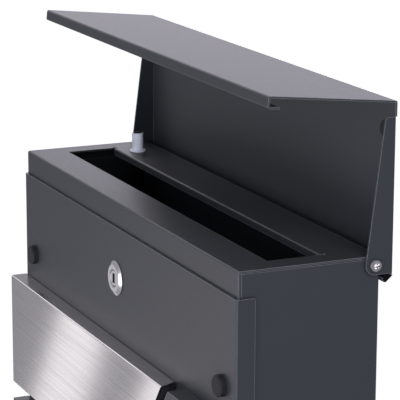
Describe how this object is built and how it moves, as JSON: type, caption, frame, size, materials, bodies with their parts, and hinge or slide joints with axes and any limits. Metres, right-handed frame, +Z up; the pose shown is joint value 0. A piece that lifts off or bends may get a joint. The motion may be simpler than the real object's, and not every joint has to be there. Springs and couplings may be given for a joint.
{
  "type": "wall-mounted letterbox",
  "caption": "Wall-mounted sheet-metal letterbox with a hinged top lid over a mail slot, a fold-down locking front door and a stainless front panel.",
  "frame": {"origin": "in the wall plane, at the centre of the four wall fixings", "axes": "+X to the right seen from the front, +Y into the wall, +Z up"},
  "size_m": [0.3806, 0.1232, 0.4744],
  "materials": {
    "powder_coat": "fine-textured anthracite powder coat, satin",
    "brushed_stainless": "stainless steel, brushed along the width",
    "chrome": "bright chrome plating",
    "zinc_steel": "zinc-plated steel",
    "buffer_rubber": "matt black rubber",
    "spacer_rubber": "matt black rubber",
    "grey_plastic": "satin grey moulded plastic",
    "black_plastic": "black moulded plastic"
  },
  "bodies": {
    "casing": {"bottom_panel": "powder_coat", "casing_shell": "powder_coat", "damper_barrel": "black_plastic", "damper_neck": "grey_plastic", "damper_nut": "black_plastic", "door_pivot_nut_left": "zinc_steel", "door_pivot_nut_right": "zinc_steel", "door_pivot_screw_left": "zinc_steel", "door_pivot_screw_right": "zinc_steel", "lid_pivot_bush_left": "black_plastic", "lid_pivot_bush_right": "black_plastic", "lid_pivot_nut_left": "zinc_steel", "lid_pivot_nut_right": "zinc_steel", "lid_pivot_screw_left": "zinc_steel", "lid_pivot_screw_right": "zinc_steel", "top_plate": "powder_coat", "wall_spacer_bottom_left": "spacer_rubber", "wall_spacer_bottom_right": "spacer_rubber", "wall_spacer_top_left": "spacer_rubber", "wall_spacer_top_right": "spacer_rubber"},
    "lid": {"lid_shell": "powder_coat", "hook_cap_left": "black_plastic", "hook_cap_right": "black_plastic", "lid_pad_left": "buffer_rubber", "lid_pad_right": "buffer_rubber"},
    "damper_plunger": {"damper_piston": "grey_plastic", "damper_pad": "black_plastic"},
    "door": {"buffer_left": "buffer_rubber", "buffer_right": "buffer_rubber", "cover_screw_1": "zinc_steel", "cover_screw_2": "zinc_steel", "cover_screw_3": "zinc_steel", "cover_screw_4": "zinc_steel", "door_panel": "powder_coat", "front_cover": "powder_coat", "lock_housing": "chrome", "lock_nut": "zinc_steel", "panel_end_strip": "buffer_rubber", "stainless_panel": "brushed_stainless", "stainless_screw_1": "zinc_steel", "stainless_screw_2": "zinc_steel", "stainless_screw_3": "zinc_steel"},
    "lock_plug": {"lock_core": "chrome", "lock_cam": "zinc_steel", "cam_screw": "zinc_steel", "lock_shutter": "black_plastic"}
  },
  "joints": [
    {"name": "lid_hinge", "type": "hinge", "parent": "casing", "child": "lid", "pos_m": [0, -0.0185, 0.1798], "axis": [1, 0, 0], "range_deg": [0, 93]},
    {"name": "damper_slide", "type": "slide", "parent": "casing", "child": "damper_plunger", "axis": [0, 0, -1], "range_m": [0, 0.01]},
    {"name": "door_hinge", "type": "hinge", "parent": "casing", "child": "door", "pos_m": [0, -0.1016, -0.179], "axis": [1, 0, 0], "range_deg": [0, 100]},
    {"name": "lock_turn", "type": "hinge", "parent": "door", "child": "lock_plug", "pos_m": [-0.0045, -0.1, 0.133], "axis": [0, -1, 0], "range_deg": [0, 90]}
  ],
  "couplings": [
    {"joint": "damper_slide", "follows": "lid_hinge", "m_per_rad": 0.00611}
  ]
}
